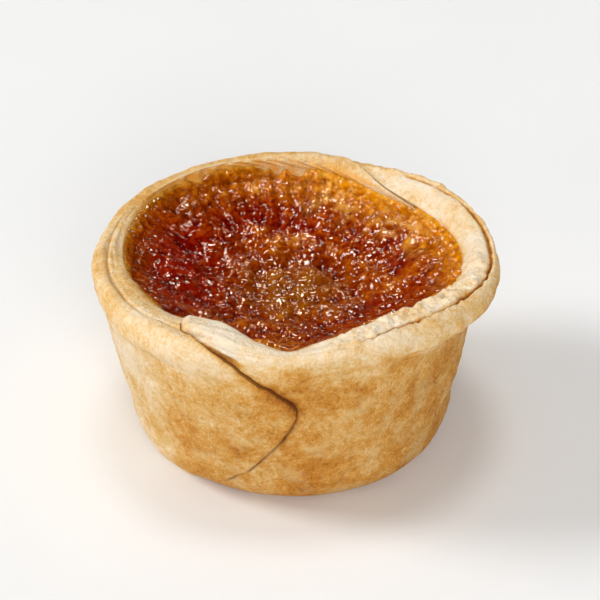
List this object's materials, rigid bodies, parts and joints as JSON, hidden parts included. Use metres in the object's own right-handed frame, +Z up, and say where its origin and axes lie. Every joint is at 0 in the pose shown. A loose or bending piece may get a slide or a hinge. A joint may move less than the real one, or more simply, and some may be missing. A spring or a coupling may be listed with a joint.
{
  "type": "butter tart",
  "caption": "Deep individual butter tart: a cup of folded shortcrust pastry with an overlapping flap and a sunken, lumpy caramel filling.",
  "frame": {"origin": "centre of the flat base, on the base", "axes": "+Z up through the filling; the front, with the outside flap's slanting seam, faces -Y; +X is the side where the rim is a wide pale band"},
  "size_m": [0.076, 0.0754, 0.0393],
  "materials": {
    "pastry": "dry baked shortcrust pastry, pale cream at the rim and golden brown on the wall, matte",
    "filling": "sticky boiled caramel, amber to dark red-brown, glossy and lumpy"
  },
  "bodies": {
    "root": {"pastry_shell": "pastry", "filling": "filling"}
  },
  "joints": []
}
